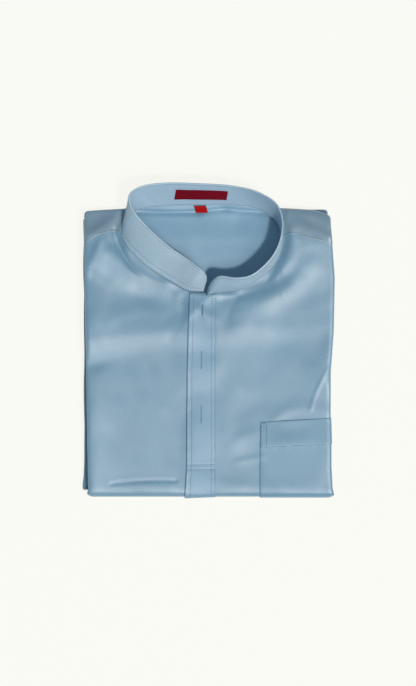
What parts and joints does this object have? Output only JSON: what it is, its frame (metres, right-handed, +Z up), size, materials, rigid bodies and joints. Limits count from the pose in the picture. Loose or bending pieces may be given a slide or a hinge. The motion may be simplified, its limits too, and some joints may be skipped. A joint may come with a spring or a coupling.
{
  "type": "folded baju melayu shirt",
  "caption": "Men's baju melayu shirt with a standing neck band, half placket and patch pocket, folded flat to a rectangle with its front up.",
  "frame": {"origin": "middle of the overall box, on the surface that the folded shirt lies on", "axes": "+Z up from the surface, +Y from the bottom fold to the neck, +X to the wearer's left"},
  "size_m": [0.2636, 0.3323, 0.0493],
  "materials": {
    "body_cloth": "light blue satin weave with a soft sheen",
    "band_cloth": "light blue satin weave over interfacing",
    "hidden_cloth": "light blue satin weave, folded layers",
    "label_cloth": "dark red woven ribbon, bare",
    "tab_cloth": "bright red woven ribbon, bare"
  },
  "bodies": {
    "root": {"folded_layers": "hidden_cloth", "front": "body_cloth", "back": "body_cloth", "collar": "band_cloth", "placket": "body_cloth", "pocket": "body_cloth", "label": "label_cloth", "size_tab": "tab_cloth"}
  },
  "joints": []
}
